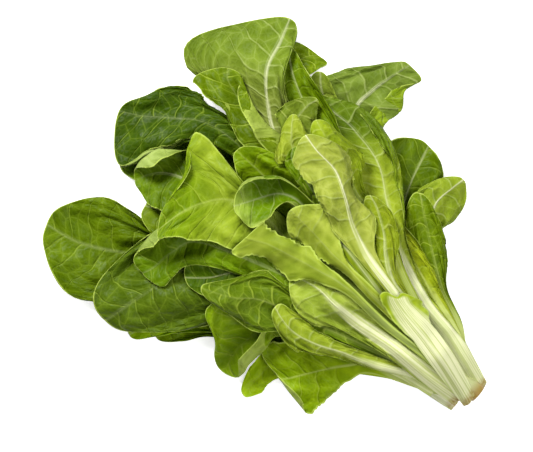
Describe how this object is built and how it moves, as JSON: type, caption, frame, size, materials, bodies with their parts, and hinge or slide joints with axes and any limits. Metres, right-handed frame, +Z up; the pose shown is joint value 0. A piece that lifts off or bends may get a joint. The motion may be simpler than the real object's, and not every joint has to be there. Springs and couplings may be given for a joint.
{
  "type": "lettuce head",
  "caption": "Picked head of lettuce lying on its side: a short cut stem, pale ribbed petioles and wavy green leaves that fold over one another.",
  "frame": {"origin": "on the surface that the head lies on, under the middle of its bounding box", "axes": "+X from the cut butt to the leaf tips, +Y across the head, +Z up"},
  "size_m": [0.2866, 0.2518, 0.0546],
  "materials": {
    "leaf_dark": "dark green leaf seen from its upper side, waxy sheen, soft yellow-green veins",
    "leaf_fresh": "mid green leaf, waxy sheen, thin yellow-green margin",
    "leaf_pale": "pale back of a leaf, matt, raised veins, white-green petiole",
    "leaf_heart": "tender yellow-green heart leaf, satin",
    "stem": "cream stem with a dry brown cut face"
  },
  "bodies": {
    "root": {"outer_leaf_1": "leaf_fresh", "outer_leaf_2": "leaf_dark", "outer_leaf_3": "leaf_dark", "outer_leaf_4": "leaf_dark", "outer_leaf_5": "leaf_pale", "outer_leaf_6": "leaf_fresh", "outer_leaf_7": "leaf_dark", "outer_leaf_8": "leaf_dark", "outer_leaf_9": "leaf_dark", "outer_leaf_10": "leaf_dark", "middle_leaf_1": "leaf_dark", "outer_leaf_11": "leaf_dark", "outer_leaf_12": "leaf_pale", "middle_leaf_2": "leaf_fresh", "middle_leaf_3": "leaf_fresh", "middle_leaf_4": "leaf_pale", "middle_leaf_5": "leaf_dark", "middle_leaf_6": "leaf_pale", "middle_leaf_7": "leaf_fresh", "stem_core": "stem", "middle_leaf_8": "leaf_fresh", "middle_leaf_9": "leaf_fresh", "middle_leaf_10": "leaf_dark", "middle_leaf_11": "leaf_dark", "middle_leaf_12": "leaf_fresh", "middle_leaf_13": "leaf_fresh", "middle_leaf_14": "leaf_fresh", "inner_leaf_1": "leaf_fresh", "heart_leaf_1": "leaf_heart", "heart_leaf_2": "leaf_heart", "heart_leaf_3": "leaf_heart", "inner_leaf_2": "leaf_pale", "inner_leaf_3": "leaf_pale", "inner_leaf_4": "leaf_pale", "inner_leaf_5": "leaf_pale", "inner_leaf_6": "leaf_pale", "inner_leaf_7": "leaf_heart", "inner_leaf_8": "leaf_heart", "inner_leaf_9": "leaf_pale", "inner_leaf_10": "leaf_pale"}
  },
  "joints": []
}
